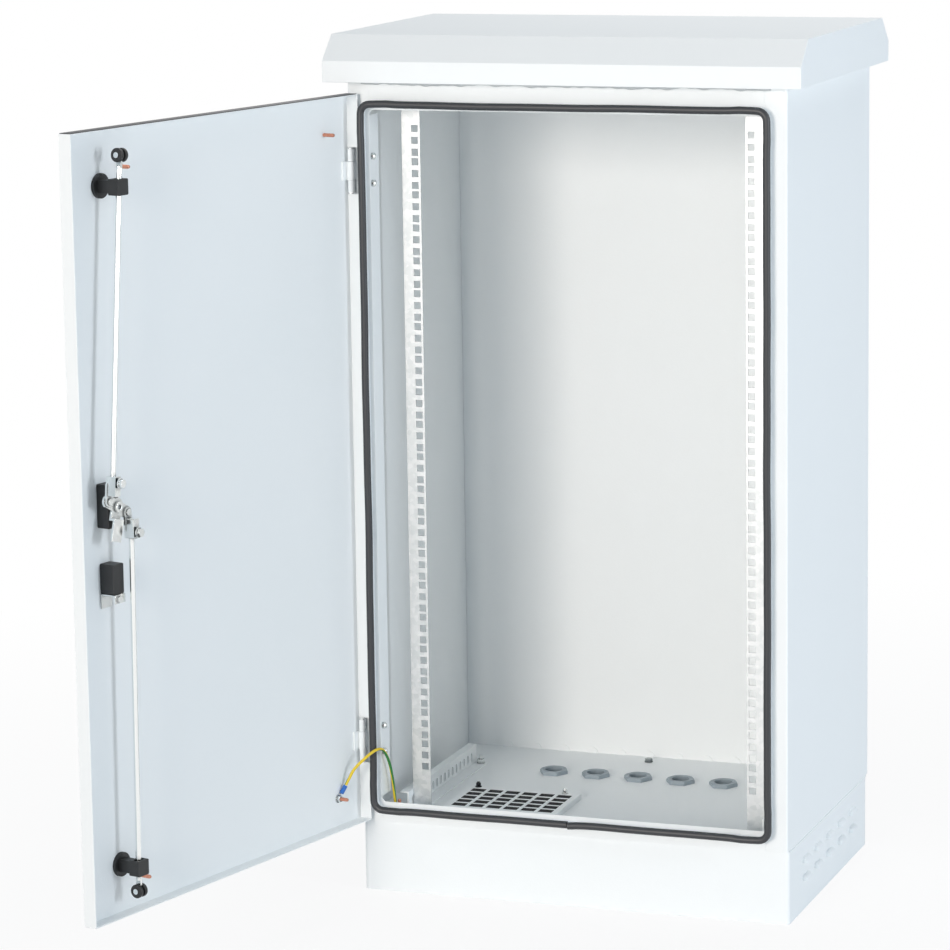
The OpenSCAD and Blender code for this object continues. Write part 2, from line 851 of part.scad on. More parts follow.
module rod_guides() {
    color("#2a2b2c") on_latch() for (z = [guide_up, guide_low]) translate([guide_x, 0, z - lock_z]) rod_guide();
}

module latch_spindle() {
    color("#c7cacc") on_latch() {
        wplate(-sheet - plate_t - 0.5, cam_w + sheet + plate_t + 0.5) circle(5);
        wplate(cam_w - e, cam_t + e) circle(4);
    }
}

module latch_cam() {
    color("#cfd2d3") on_latch() {
        difference() {
            wplate(cam_w, cam_t) {
                circle(11);
                for (a = [pin_angle, pin_angle + 180]) rotate(a) slot(pin_r, 8);
                rotate(tongue_angle) rect([0, 18], [-tongue_b, tongue_b]);
            }
            wplate(cam_w - e, cam_t + 2 * e) circle(4);
        }
        for (s = [-1, 1]) translate([s * pin_x, 0, s * pin_z]) {
            wplate(cam_w, cam_t + 3.2) circle(axle_r);
            wplate(cam_w + cam_t + 3.1, 1.4) circle(4.2);
        }
        rotate([0, -tongue_angle, 0]) {
            wplate(cam_w, tongue_d) rect([15, 18], [-tongue_b, tongue_b]);
            wplate(cam_w + tongue_d - cam_t, cam_t) rect([15, tongue_l], [-tongue_b, tongue_b]);
        }
    }
}

module cam_screw() {
    color("#b9bdbf") on_latch() difference() {
        wplate(cam_w + cam_t, 4) circle(6.5);
        wplate(cam_w + cam_t + 1.5, 4) circle(3.2, $fn = 6);
    }
}

module handle_hub() {
    color("#2a2b2c") on_lever() translate([0, sheet + plate_t + 0.5, 0]) difference() {
        union() {
            xz(0, 3) circle(14);
            box([-8, 8], [2, 11.5], [-5, 5]);
            translate([0, 11.5, -5]) cylinder(r = 8, h = 10);
        }
        translate([0, 11.5, -9]) cylinder(r = pin_hole, h = 18);
    }
}

module on_pivot() {
    on_lever() translate([0, sheet + plate_t + 12, 0]) children();
}

module lever_pin() {
    color("#c4c7c9") on_pivot() cylinder(r = axle_r, h = 21, center = true);
}

module handle_lever() {
    color("#232425") on_pivot() difference() {
        union() {
            cylinder(r = 7, h = 21, center = true);
            box([0, 20], [-7, 7], [-10.5, 10.5]);
            xz(-7, 14) difference() {
                rrect([10, lever_l], [-11, 11], 8);
                translate([91, 0]) circle(10);
            }
            translate([lever_l - 12, -7, -11]) box([0, 12 - 8], [14 - e, 17], [0, 22]);
        }
        box([-9, 10], [-9, 9], [-5.2, 5.2]);
        cylinder(r = pin_hole, h = 40, center = true);
    }
}

// Rod along z from its clamp to the roller axle
module rod(l) {
    difference() {
        translate([0, -rod_w, 0]) {
            translate([0, 0, 14]) cylinder(r = rod_r, h = l - 28);
            translate([0, 0, l - 22]) cylinder(r = rod_r, h = 8.5);
            box([-1.6, 1.6], [-3.4, 3.4], [l - 16, l]);
            translate([-1.6, 0, l]) rotate([0, 90, 0]) cylinder(r = 4.4, h = 3.2);
        }
    }
    translate([0, -rod_w, l]) {
        translate([-7, 0, 0]) rotate([0, 90, 0]) cylinder(r = axle_r, h = 14);
        for (x = [-7.6, 6.6]) translate([x, 0, 0]) rotate([0, 90, 0]) cylinder(r = 3.6, h = 1);
    }
}

module clamp() {
    difference() {
        union() {
            wplate(eye_w, 2.4) rotate(90) slot(20, 6.5);
            wplate(eye_w, clamp_top - eye_w) rrect([-5.2, 5.2], [clamp_z - 17, clamp_z + 8], 1.5);
        }
        wplate(eye_w - e, 9) circle(pin_hole);
        translate([0, -rod_w, 13.9]) cylinder(r = rod_r + 0.05, h = 40);
        translate([0, 0, clamp_z]) wplate(rod_w, 20) circle(3.05);
    }
}

module clamp_screw() {
    translate([0, 0, clamp_z]) {
        wplate(rod_w + rod_r + 0.1, clamp_top + 3 - rod_w - rod_r) circle(3);
        translate([0, -clamp_top - 3, 0]) rotate([90, 0, 0]) hex(10, 5.5);
        wplate(clamp_top + 3, 1.4) circle(6.4);
    }
}

module roller(l) {
    translate([0, -rod_w, l]) for (x = [-6.5, 2]) translate([x, 0, 0]) rotate([0, 90, 0]) difference() {
        cylinder(r = roller_r, h = 4.5);
        translate([0, 0, -e]) cylinder(r = pin_hole, h = 9);
    }
}

module upper_rod() {
    color("#cfd2d3") on_upper() rod(upper_len);
}

module lower_rod() {
    color("#cfd2d3") on_lower() rod(lower_len);
}

module upper_clamp() {
    color("#c7cacc") on_upper() clamp();
}

module lower_clamp() {
    color("#c7cacc") on_lower() clamp();
}

module upper_clamp_screw() {
    color("#b9bdbf") on_upper() clamp_screw();
}

module lower_clamp_screw() {
    color("#b9bdbf") on_lower() clamp_screw();
}

module upper_roller() {
    color("#232425") on_upper() roller(upper_len);
}

module lower_roller() {
    color("#232425") on_lower() roller(lower_len);
}

plinth();
plinth_bolts();
side_panel_left();
side_panel_right();
stile_lips();
rear_panel();
roof_panel();
floor_panel();
front_header();
front_sill();
seal_rim();
door_gasket();
roof_hood();
hood_sealant();
hood_spacers();
hood_bolts();
rack_rail_left();
rack_rail_right();
rail_webs();
supports_low();
supports_top();
rail_bolts();
vent_grille();
filter_mat();
grille_nuts();
cable_glands();
gland_locknuts();
hinge_frame_leaves();
hinge_pins();
hinge_screws();
hinge_door_leaves();
earth_stud();
earth_lug_floor();
earth_lug_door();
earth_nut_door();
earth_wire();
door_panel();
door_studs();
lock_housing();
catch_block();
catch_bracket();
handle_plate();
lock_cylinder();
lock_plug();
rod_guides();
latch_spindle();
latch_cam();
cam_screw();
handle_hub();
lever_pin();
handle_lever();
upper_rod();
lower_rod();
upper_clamp();
lower_clamp();
upper_clamp_screw();
lower_clamp_screw();
upper_roller();
lower_roller();
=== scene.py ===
import bpy
import json
from math import cos, exp, hypot, pi, radians, sin
from mathutils import Matrix, Vector


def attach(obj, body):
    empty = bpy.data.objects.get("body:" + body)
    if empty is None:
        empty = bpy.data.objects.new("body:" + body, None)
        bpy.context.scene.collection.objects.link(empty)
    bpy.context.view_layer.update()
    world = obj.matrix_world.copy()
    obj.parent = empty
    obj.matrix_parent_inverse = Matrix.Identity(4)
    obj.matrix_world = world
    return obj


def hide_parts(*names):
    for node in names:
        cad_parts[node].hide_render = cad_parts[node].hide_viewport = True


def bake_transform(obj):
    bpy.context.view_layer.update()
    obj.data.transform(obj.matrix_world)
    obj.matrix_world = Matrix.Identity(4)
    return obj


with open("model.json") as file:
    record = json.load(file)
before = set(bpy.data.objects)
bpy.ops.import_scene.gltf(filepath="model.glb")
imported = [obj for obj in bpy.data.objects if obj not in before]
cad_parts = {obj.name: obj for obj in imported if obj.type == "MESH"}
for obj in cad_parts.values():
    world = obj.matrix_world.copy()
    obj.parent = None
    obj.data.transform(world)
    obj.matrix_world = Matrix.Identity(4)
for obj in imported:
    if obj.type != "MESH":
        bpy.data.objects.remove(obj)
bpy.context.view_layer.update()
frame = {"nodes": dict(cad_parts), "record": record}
bodyOf = {node: body for body, nodes in frame["record"]["behaviour"]["bodies"].items() for node in nodes}
print("cabinet solids loaded:", len(frame["nodes"]))


def linearColour(hexText):
    parts = [int(hexText[i:i + 2], 16) / 255 for i in (1, 3, 5)]
    return [p / 12.92 if p <= 0.04045 else ((p + 0.055) / 1.055) ** 2.4 for p in parts] + [1.0]


def addNode(tree, kind, settings=None, links=None):
    node = tree.nodes.new(kind)
    for name, value in (settings or {}).items():
        if name in node.inputs:
            node.inputs[name].default_value = value
        else:
            setattr(node, name, value)
    for name, source in (links or {}).items():
        tree.links.new(source, node.inputs[name])
    return node


def newMaterial(name, colour, roughness, metallic=0.0, ior=1.5):
    material = bpy.data.materials.new(name)
    material.use_nodes = True
    tree = material.node_tree
    shader = tree.nodes["Principled BSDF"]
    shader.inputs["Base Color"].default_value = linearColour(colour)
    shader.inputs["Roughness"].default_value = roughness
    shader.inputs["Metallic"].default_value = metallic
    shader.inputs["IOR"].default_value = ior
    return material, tree, shader


def tintBetween(tree, shader, factor, first, second):
    ramp = addNode(tree, "ShaderNodeValToRGB", links={"Fac": factor})
    ramp.color_ramp.elements[0].color = linearColour(first)
    ramp.color_ramp.elements[1].color = linearColour(second)
    tree.links.new(ramp.outputs["Color"], shader.inputs["Base Color"])
    return ramp


def deselectAll():
    if bpy.context.mode != "OBJECT":
        bpy.ops.object.mode_set(mode="OBJECT")
    bpy.ops.object.select_all(action="DESELECT")


def makeActive(piece):
    deselectAll()
    piece.select_set(True)
    bpy.context.view_layer.objects.active = piece


# camera fitted to the photograph's edges, lens in mm on a 36 mm sensor
viewPoint = {"place": (1.63284, -5.14005, 1.54625), "yaw": 19.683, "pitch": 10.409, "roll": -0.851,
             "lens": 151.68, "sensor": 36, "clipEnd": 60}
bpy.ops.object.camera_add()
camera = bpy.context.object
camera.name = "photoCamera"
camera.data.sensor_width = viewPoint["sensor"]
camera.data.lens = viewPoint["lens"]
camera.data.clip_end = viewPoint["clipEnd"]
turn = Matrix.Rotation(radians(viewPoint["yaw"]), 4, "Z") @ Matrix.Rotation(radians(90 - viewPoint["pitch"]), 4, "X")
lean = Matrix.Rotation(radians(viewPoint["roll"]), 4, "Z")
camera.matrix_world = Matrix.Translation(viewPoint["place"]) @ turn @ lean
bpy.context.scene.camera = camera
print("camera set")

# earth wire, the same route as the solid: steps from the hinge axis, front flange and floor line in mm
earthWire = {"hingeX": -292.5, "frontY": -215, "floorZ": 100, "diameter": 4.0, "sides": 16, "partsPerStep": 5,
             "bendFrom": 4, "bendTo": 34, "stripeTurns": 0.9, "stripeStart": 0.335, "stripeEdge": 0.62,
             "steps": [(-11, -48.8, 59.6), (-7, -44.6, 69.3), (0, -42, 82), (13, -34, 96), (22, -21, 103.5),
                       (27, -8, 102), (29.5, 3, 90), (30.5, 12, 74), (30.5, 20, 54), (30.5, 25.5, 34),
                       (30.5, 28.6, 20), (30.5, 30.7, 14.8)]}


def smoothRoute(points, parts):
    route = []
    for i in range(len(points) - 1):
        a, b, c, d = points[max(i - 1, 0)], points[i], points[i + 1], points[min(i + 2, len(points) - 1)]
        for k in range(parts):
            t = k / parts
            route.append(0.5 * (2 * b + (c - a) * t + (2 * a - 5 * b + 4 * c - d) * t * t
                                + (3 * b - a - 3 * c + d) * t ** 3))
    return route + [points[-1]]


def sweptTube(name, route, section, swell=None):
    # rings of the section along the route, with a lengthwise and a round-about UV; swell scales each ring
    startSide = Vector((0.36, -0.92, 0.15))  # a direction that no route sets out along
    count, sides = len(route), len(section)
    points, faces, spots = [], [], []
    side = None
    for i, spot in enumerate(route):
        ahead, behind = route[min(i + 1, count - 1)], route[max(i - 1, 0)]
        way = (ahead - behind).normalized()
        if side is None:
            side = way.cross(startSide).normalized()
        side = (side - way * side.dot(way)).normalized()
        up = way.cross(side)
        size = swell[i] if swell else 1.0
        points += [spot + side * x * size + up * y * size for x, y in section]
    for i in range(count - 1):
        for k in range(sides):
            here, there, q = i * sides, (i + 1) * sides, (k + 1) % sides
            faces.append((here + k, here + q, there + q, there + k))
            spots.append((i, k))
    mesh = bpy.data.meshes.new(name)
    caps = [tuple(range(sides))[::-1], tuple((count - 1) * sides + k for k in range(sides))]
    mesh.from_pydata(points, [], faces + caps)
    layer = mesh.uv_layers.new(name="alongRound")
    for face, (i, k) in zip(mesh.polygons, spots):
        for loop, (di, dk) in zip(face.loop_indices, ((0, 0), (0, 1), (1, 1), (1, 0))):
            layer.data[loop].uv = ((i + di) / count, (k + dk) / sides)
    piece = bpy.data.objects.new(name, mesh)
    bpy.context.scene.collection.objects.link(piece)
    makeActive(piece)
    bpy.ops.object.mode_set(mode="EDIT")
    bpy.ops.mesh.select_all(action="SELECT")
    bpy.ops.mesh.normals_make_consistent(inside=False)
    bpy.ops.object.mode_set(mode="OBJECT")
    bpy.ops.object.shade_smooth_by_angle(angle=radians(50))
    return piece


def waved(x, waves):
    return sum(size * sin(x / span + shift) for size, span, shift in waves)


def roundSection(radius, sides):
    return [(radius * cos(2 * pi * k / sides), radius * sin(2 * pi * k / sides)) for k in range(sides)]


routeStart = Vector((earthWire["hingeX"], earthWire["frontY"], earthWire["floorZ"]))
wireRoute = smoothRoute([(routeStart + Vector(s)) / 1000 for s in earthWire["steps"]], earthWire["partsPerStep"])
wirePiece = sweptTube("earthWirePiece", wireRoute, roundSection(earthWire["diameter"] / 2000, earthWire["sides"]))
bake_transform(wirePiece)
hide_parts("earth_wire")


def powderCoat(name, colour, shade):
    # polyester powder coat: fine orange peel, faint cloudiness from the spray
    material, tree, shader = newMaterial(name, colour, 0.55)
    spot = addNode(tree, "ShaderNodeTexCoord").outputs["Object"]
    cloud = addNode(tree, "ShaderNodeTexNoise", {"Scale": 1 / 0.18, "Detail": 2.0}, {"Vector": spot})
    tintBetween(tree, shader, cloud.outputs["Fac"], shade, colour)
    peel = addNode(tree, "ShaderNodeTexNoise", {"Scale": 1 / 0.003, "Detail": 2.0}, {"Vector": spot})
    bump = addNode(tree, "ShaderNodeBump", {"Strength": 0.6, "Distance": 0.0002}, {"Height": peel.outputs["Fac"]})
    tree.links.new(bump.outputs["Normal"], shader.inputs["Normal"])
    gloss = addNode(tree, "ShaderNodeMapRange", {"To Min": 0.5, "To Max": 0.62}, {"Value": cloud.outputs["Fac"]})
    tree.links.new(gloss.outputs["Result"], shader.inputs["Roughness"])
    return material


def galvanised(name):
    # hot-dip galvanised steel: grey spangle a few mm across, each crystal slightly different in gloss
    material, tree, shader = newMaterial(name, "#c9cdcf", 0.4, metallic=0.8)
    spot = addNode(tree, "ShaderNodeTexCoord").outputs["Object"]
    spangle = addNode(tree, "ShaderNodeTexVoronoi", {"Scale": 1 / 0.006}, {"Vector": spot})
    tone = addNode(tree, "ShaderNodeSeparateColor", links={"Color": spangle.outputs["Color"]}).outputs["Red"]
    tintBetween(tree, shader, tone, "#c4c9cb", "#d2d5d7")
    gloss = addNode(tree, "ShaderNodeMapRange", {"To Min": 0.38, "To Max": 0.44}, {"Value": tone})
    tree.links.new(gloss.outputs["Result"], shader.inputs["Roughness"])
    return material


def zincPlate(name, colour, shade):
    # bright zinc plating over drawn or stamped steel: pale on open faces, with painted shade darkening it where
    # parts meet and faint darker patches of painted reflection
    material, tree, shader = newMaterial(name, colour, 0.24, metallic=1.0)
    spot = addNode(tree, "ShaderNodeTexCoord").outputs["Object"]
    cloud = addNode(tree, "ShaderNodeTexNoise", {"Scale": 1 / 0.009, "Detail": 3.0}, {"Vector": spot})
    # painted shade: ambient occlusion within 7 mm darkens the colour where parts meet
    paintedJointShade = addNode(tree, "ShaderNodeAmbientOcclusion", {"samples": 8, "Distance": 0.007})
    # painted reflection: cloudy patches darken the colour a little, standing in for darker surroundings reflected in
    # the plating
    paintedReflectionPatches = addNode(tree, "ShaderNodeMapRange", {"To Min": 0.78, "To Max": 1.0}, {"Value": cloud.outputs["Fac"]})
    tone = addNode(tree, "ShaderNodeMath", {"operation": "MULTIPLY"},
                   {0: paintedReflectionPatches.outputs["Result"], 1: paintedJointShade.outputs["AO"]})
    ramp = tintBetween(tree, shader, tone.outputs[0], shade, colour)
    ramp.color_ramp.elements[0].position = 0.3
    ramp.color_ramp.elements[1].position = 0.85
    marks = addNode(tree, "ShaderNodeTexNoise", {"Scale": 1 / 0.003, "Detail": 2.0}, {"Vector": spot})
    gloss = addNode(tree, "ShaderNodeMapRange", {"To Min": 0.12, "To Max": 0.24}, {"Value": marks.outputs["Fac"]})
    tree.links.new(gloss.outputs["Result"], shader.inputs["Roughness"])
    return material


def mouldedPlastic(name, colour, shade, roughness):
    # moulded polyamide with a spark-eroded grain, drawn at about 1 mm so that it shows
    material, tree, shader = newMaterial(name, colour, roughness)
    spot = addNode(tree, "ShaderNodeTexCoord").outputs["Object"]
    grain = addNode(tree, "ShaderNodeTexNoise", {"Scale": 1 / 0.001, "Detail": 3.0}, {"Vector": spot})
    tintBetween(tree, shader, grain.outputs["Fac"], shade, colour)
    bump = addNode(tree, "ShaderNodeBump", {"Strength": 0.3, "Distance": 0.0001}, {"Height": grain.outputs["Fac"]})
    tree.links.new(bump.outputs["Normal"], shader.inputs["Normal"])
    return material


def foamMat(name):
    # open-cell filter foam: near black with cells of about 1.5 mm
    material, tree, shader = newMaterial(name, "#1a1b1c", 0.95)
    spot = addNode(tree, "ShaderNodeTexCoord").outputs["Object"]
    cells = addNode(tree, "ShaderNodeTexVoronoi", {"Scale": 1 / 0.0015}, {"Vector": spot})
    tintBetween(tree, shader, cells.outputs["Distance"], "#0c0d0e", "#2c2e30")
    bump = addNode(tree, "ShaderNodeBump", {"Strength": 0.8, "Distance": 0.0006},
                   {"Height": cells.outputs["Distance"]})
    tree.links.new(bump.outputs["Normal"], shader.inputs["Normal"])
    return material


def copperPlate(name, colour, shade):
    # copper-flashed weld studs and brass: warm metal, a little dulled in patches
    material, tree, shader = newMaterial(name, colour, 0.32, metallic=1.0)
    spot = addNode(tree, "ShaderNodeTexCoord").outputs["Object"]
    cloud = addNode(tree, "ShaderNodeTexNoise", {"Scale": 1 / 0.004, "Detail": 3.0}, {"Vector": spot})
    tintBetween(tree, shader, cloud.outputs["Fac"], shade, colour)
    return material


def stripedSheath(name, wire):
    # PVC wire sheath, green stripe on yellow running lengthwise with a slow twist
    material, tree, shader = newMaterial(name, "#e2c531", 0.38)
    place = addNode(tree, "ShaderNodeUVMap", {"uv_map": "alongRound"}).outputs["UV"]
    parts = addNode(tree, "ShaderNodeSeparateXYZ", links={"Vector": place})
    twist = addNode(tree, "ShaderNodeMath", {"operation": "MULTIPLY_ADD"},
                    {0: parts.outputs["X"], 2: parts.outputs["Y"]})
    twist.inputs[1].default_value = wire["stripeTurns"]
    start = addNode(tree, "ShaderNodeMath", {"operation": "ADD"}, {0: twist.outputs[0]})
    start.inputs[1].default_value = wire["stripeStart"]
    wrap = addNode(tree, "ShaderNodeMath", {"operation": "FRACT"}, {0: start.outputs[0]})
    ramp = tintBetween(tree, shader, wrap.outputs[0], "#e2c531", "#2f7d3b")
    ramp.color_ramp.interpolation = "CONSTANT"
    ramp.color_ramp.elements[1].position = wire["stripeEdge"]
    return material


whitePaint = powderCoat("powderCoatWhite", "#f5f8f9", "#f2f6f7")
rackSteel = galvanised("galvanisedRackSteel")
# the second colour of each zinc-plate finish is the dark end of its painted shade where parts meet and of its
# painted reflection patches
zinc = zincPlate("brightZincPlate", "#f2f4f3", "#5d6568")
blackSteel = zincPlate("blackenedSteel", "#3a3d40", "#222427")
# zinc on the plinth bolts, gone dull
dullZinc = zincPlate("dullZinc", "#8f9597", "#4b5154")
blackNylon = mouldedPlastic("blackPolyamide", "#242628", "#191a1c", 0.5)
greyNylon = mouldedPlastic("greyPolyamide", "#9fabb3", "#8f9ba3", 0.45)
gasketRubber = mouldedPlastic("epdmRubber", "#37393d", "#2c2e31", 0.42)
sealant = mouldedPlastic("greySealant", "#d0d4d6", "#bfc4c7", 0.5)
blueSleeve = mouldedPlastic("blueCrimpSleeve", "#2b70c6", "#2361b2", 0.35)
filterFoam = foamMat("filterFoam")
copper = copperPlate("copperFlashedStud", "#dba791", "#b9755f")
brass = copperPlate("brassPlug", "#c7a45c", "#9f8247")
wireSheath = stripedSheath("earthWireSheath", earthWire)
wirePiece.data.materials.append(wireSheath)

finishes = {
    "plinth side_panel_left side_panel_right rear_panel roof_panel floor_panel front_header front_sill seal_rim "
    "roof_hood stile_lips supports_low supports_top vent_grille door_panel "
    "hinge_frame_leaves hinge_door_leaves": whitePaint,
    "rack_rail_left rack_rail_right rail_webs hood_spacers": rackSteel,
    "hood_bolts rail_bolts hinge_pins hinge_screws catch_bracket lock_cylinder latch_spindle latch_cam cam_screw "
    "lever_pin upper_rod lower_rod upper_clamp lower_clamp upper_clamp_screw lower_clamp_screw grille_nuts "
    "earth_nut_door": zinc,
    "lock_housing catch_block handle_plate rod_guides handle_hub handle_lever upper_roller lower_roller": blackNylon,
    "plinth_bolts": dullZinc, "cable_glands gland_locknuts": greyNylon, "door_gasket": gasketRubber,
    "hood_sealant": sealant, "filter_mat": filterFoam, "earth_stud door_studs": copper, "lock_plug": brass,
    "earth_lug_floor earth_lug_door": blueSleeve, "earth_wire": wireSheath}
for names, material in finishes.items():
    for name in names.split():
        mesh = frame["nodes"][name].data
        mesh.materials.clear()
        mesh.materials.append(material)
print("finishes given to", len(frame["nodes"]), "solids")

# edge radius in mm of each folded, stamped or moulded piece
edgeRadius = {"roof_hood": 2.4, "door_panel": 1.4, "vent_grille": 0.7, "supports_low": 0.5, "supports_top": 0.5,
              "lock_housing": 1.2, "catch_block": 1.2, "catch_bracket": 0.4, "handle_plate": 2.0,
              "handle_lever": 1.6, "handle_hub": 0.8, "rod_guides": 1.2,
              "latch_cam": 0.5, "cam_screw": 0.6, "upper_clamp": 0.7, "lower_clamp": 0.7, "upper_clamp_screw": 0.8,
              "lower_clamp_screw": 0.8, "upper_roller": 0.9, "lower_roller": 0.9, "gland_locknuts": 0.9,
              "cable_glands": 0.6, "hinge_frame_leaves": 0.5, "hinge_door_leaves": 0.5, "plinth_bolts": 0.5,
              "rail_bolts": 0.4, "hood_bolts": 0.4, "grille_nuts": 0.5, "front_sill": 0.3, "front_header": 0.3,
              "side_panel_left": 0.7, "side_panel_right": 0.7, "rear_panel": 0.7, "rack_rail_left": 0.3,
              "rack_rail_right": 0.3, "rail_webs": 0.3, "earth_nut_door": 0.4}
# how the edges are found: distances in metres, angles in degrees
edgeWork = {"merge": 0.000002, "flat": 0.6, "sharp": 28, "smooth": 34, "segments": 3, "blackNutBefore": -0.12}


def flatten(piece):
    # the large faces keep their own normals, so that the rounded edges don't shade across them
    makeActive(piece)
    weighted = piece.modifiers.new("flat", "WEIGHTED_NORMAL")
    weighted.keep_sharp = True
    bpy.ops.object.modifier_apply(modifier="flat")


def softEdges(name, radius, rework=None):
    # a merged copy of the solid with its sharp edges rounded stands in its place
    source = frame["nodes"][name]
    piece = bpy.data.objects.new(name + "Piece", source.data.copy())
    bpy.context.scene.collection.objects.link(piece)
    makeActive(piece)
    bpy.ops.object.mode_set(mode="EDIT")
    bpy.ops.mesh.select_all(action="SELECT")
    bpy.ops.mesh.remove_doubles(threshold=edgeWork["merge"])
    bpy.ops.object.mode_set(mode="OBJECT")
    if rework:
        rework(piece)
    bpy.ops.object.mode_set(mode="EDIT")
    bpy.ops.mesh.select_all(action="SELECT")
    bpy.ops.mesh.dissolve_limited(angle_limit=radians(edgeWork["flat"]))
    bpy.ops.object.mode_set(mode="OBJECT")
    bevel = piece.modifiers.new("edge", "BEVEL")
    bevel.width = radius / 1000
    bevel.segments = edgeWork["segments"]
    bevel.limit_method = "ANGLE"
    bevel.angle_limit = radians(edgeWork["sharp"])
    bpy.ops.object.modifier_apply(modifier="edge")
    bpy.ops.object.shade_smooth_by_angle(angle=radians(edgeWork["smooth"]))
    if not rework:
        flatten(piece)
    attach(piece, bodyOf[name])
    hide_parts(name)
    return piece


softPieces = {name: softEdges(name, radius) for name, radius in edgeRadius.items()}
for face in softPieces["grille_nuts"].data.polygons:
    # the left thumb nut is blackened steel
    if face.center.x < edgeWork["blackNutBefore"]:
        face.material_index = 1
softPieces["grille_nuts"].data.materials.append(blackSteel)
print("edges rounded on", len(edgeRadius), "pieces")

# plinth: louvres drawn taller and shorter than the plain quarter capsules, top edge rolled so that a seam shows
plinthShape = {"halfWidth": 300, "louvreStep": 62, "louvreCount": 5, "rows": (41.5, 66.0), "reach": 23.4,
               "height": 5.2, "longer": 0.66, "taller": 1.35, "deeper": 1.2, "wall": 2.2, "edge": 0.5,
               "seam": 1.3, "seamSteps": 4, "top": 100, "flange": 14, "touch": 0.05, "skim": 0.1}


def pressedPlinth(piece):
    q = plinthShape
    half = q["halfWidth"] / 1000
    middles = [(i - (q["louvreCount"] - 1) / 2) * q["louvreStep"] / 1000 for i in range(q["louvreCount"])]
    for vertex in piece.data.vertices:
        side = 1 if vertex.co.x > 0 else -1
        if abs(vertex.co.x) < half - q["wall"] / 1000:
            continue
        for y in middles:
            for z in q["rows"]:
                lift = vertex.co.z - z / 1000
                if abs(vertex.co.y - y) < q["reach"] / 1000 and -q["touch"] / 1000 < lift < q["height"] / 1000:
                    vertex.co.y = y + (vertex.co.y - y) * q["longer"]
                    vertex.co.z = z / 1000 + lift * q["taller"]
                    vertex.co.x = side * (half + (abs(vertex.co.x) - half) * q["deeper"])
                    break
            else:
                continue
            break


def rolledTop(piece):
    # bevel only the outer edge of the top flange
    q = plinthShape
    ys = [v.co.y for v in piece.data.vertices]
    band = q["flange"] / 1000
    front, rear, side = min(ys) + band, max(ys) - band, q["halfWidth"] / 1000 - band
    outer = {v.index for v in piece.data.vertices if v.co.z > (q["top"] - q["skim"]) / 1000
             and (abs(v.co.x) > side or v.co.y < front or v.co.y > rear)}
    makeActive(piece)
    bpy.context.tool_settings.mesh_select_mode = (False, True, False)
    for part in (piece.data.vertices, piece.data.edges, piece.data.polygons):
        part.foreach_set("select", [False] * len(part))
    for edge in piece.data.edges:
        edge.select = edge.vertices[0] in outer and edge.vertices[1] in outer
    bpy.ops.object.mode_set(mode="EDIT")
    bpy.ops.mesh.bevel(offset=q["seam"] / 1000, segments=q["seamSteps"])
    bpy.ops.object.mode_set(mode="OBJECT")
    bpy.ops.object.shade_smooth_by_angle(angle=radians(edgeWork["smooth"]))
    flatten(piece)


softPieces["plinth"] = softEdges("plinth", plinthShape["edge"], pressedPlinth)
rolledTop(softPieces["plinth"])
print("plinth pressed")

# push-on gasket: a bulb that wanders a little on its rim, ends butted at the bottom middle
doorGasket = {"halfWidth": 276.5, "bottom": 119, "top": 1076.5, "corner": 13, "y": -229.3, "radius": 4.9, "step": 12,
              "wander": 0.45, "wanderWaves": ((0.6, 61, 0), (0.4, 23, 1.3)), "inOut": ((0.3, 47, 0),),
              "endDrop": 1.6, "dropReach": 45, "dropBand": 4, "gap": 0.8,
              "hump": 1.2, "humpFrom": 24, "humpWide": 12, "sides": 14, "bendSteps": 6}


def gasketRoute(g):
    # from the joint at the bottom middle, round to the left and back
    x, r = g["halfWidth"], g["corner"]
    low, high = g["bottom"] + r, g["top"] - r
    corners = [(-x + r, low, 270), (-x + r, high, 180), (x - r, high, 90), (x - r, low, 0)]
    flat = [(-g["gap"] / 2, g["bottom"])]
    for cx, cz, a in corners:
        for k in range(g["bendSteps"] + 1):
            t = radians(a - 90 * k / g["bendSteps"])
            flat.append((cx + r * cos(t), cz + r * sin(t)))
    flat.append((g["gap"] / 2, g["bottom"]))
    route, travelled = [], 0
    for (ax, az), (bx, bz) in zip(flat, flat[1:]):
        length = hypot(bx - ax, bz - az)
        parts = max(1, round(length / g["step"]))
        for k in range(parts):
            s = travelled + length * k / parts
            wave = g["wander"] * waved(s, g["wanderWaves"])
            x, z = ax + (bx - ax) * k / parts, az + (bz - az) * k / parts
            # the bulb lifts a little just past each bend
            away = min(hypot(x - cx, z - cz) for cx, cz, a in corners)
            wave += g["hump"] * exp(-((away - g["humpFrom"]) / g["humpWide"]) ** 2)
            out = Vector((x, z - (g["bottom"] + g["top"]) / 2)).normalized()
            route.append(Vector((x + wave * out.x, g["y"] + waved(s, g["inOut"]), z + wave * out.y)) / 1000)
        travelled += length
    last = Vector((flat[-1][0], g["y"], flat[-1][1])) / 1000
    for p in route + [last]:
        if p.x > 0 and p.z < (g["bottom"] + g["dropBand"]) / 1000:
            p.z -= g["endDrop"] / 1000 * max(0, 1 - p.x * 1000 / g["dropReach"]) ** 2
    return route + [last]


gasketSection = roundSection(doorGasket["radius"] / 1000, doorGasket["sides"])
gasketPiece = sweptTube("doorGasketPiece", gasketRoute(doorGasket), gasketSection)
gasketPiece.data.materials.append(gasketRubber)
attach(gasketPiece, "cabinet")
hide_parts("door_gasket")
print("gasket pushed on")

# copper-flashed weld studs with a rolled thread, modelled once: one on the floor, four on the door
weldStud = {"length": 17.0, "radius": 2.5, "pitch": 0.8, "depth": 0.38, "steps": 14, "tip": 0.7, "plainEnd": 1.4,
            "sides": 18, "overlap": 0.02, "hinge": (-292.5, -227), "doorOpen": 104, "alongDoor": (49.5, 479.5),
            "heights": (143, 1040), "skinIn": -7.5, "floorPlace": (-262, -170, 101.5)}


